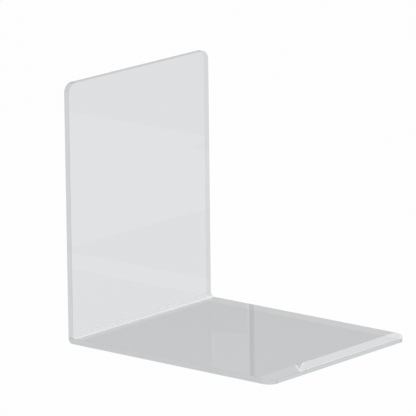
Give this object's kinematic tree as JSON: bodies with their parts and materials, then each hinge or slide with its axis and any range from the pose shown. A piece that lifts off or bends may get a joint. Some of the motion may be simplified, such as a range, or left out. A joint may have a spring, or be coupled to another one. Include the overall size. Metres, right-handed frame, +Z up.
{
  "type": "desk privacy panel",
  "caption": "Clear L-shaped desk panel: an upright sheet bonded to a flat base sheet whose free end slopes to a thin nose with a grip strip.",
  "frame": {"origin": "middle of the footprint, on the desk: the centre of the flat underside's bounding box", "axes": "+X along the base from the upright towards the sloping nose, +Y along the width, +Z up"},
  "size_m": [0.256, 0.21, 0.26],
  "materials": {
    "clear_sheet": "polished clear acrylic",
    "clear_cement": "clear solvent cement, glossy",
    "grip_strip": "clear soft plastic, satin",
    "lift_tab": "clear film, glossy, bright cut edge"
  },
  "bodies": {
    "root": {"base_plate": "clear_sheet", "upright_panel": "clear_sheet", "corner_bead": "clear_cement", "nose_strip": "grip_strip", "lift_tab": "lift_tab"}
  },
  "joints": []
}
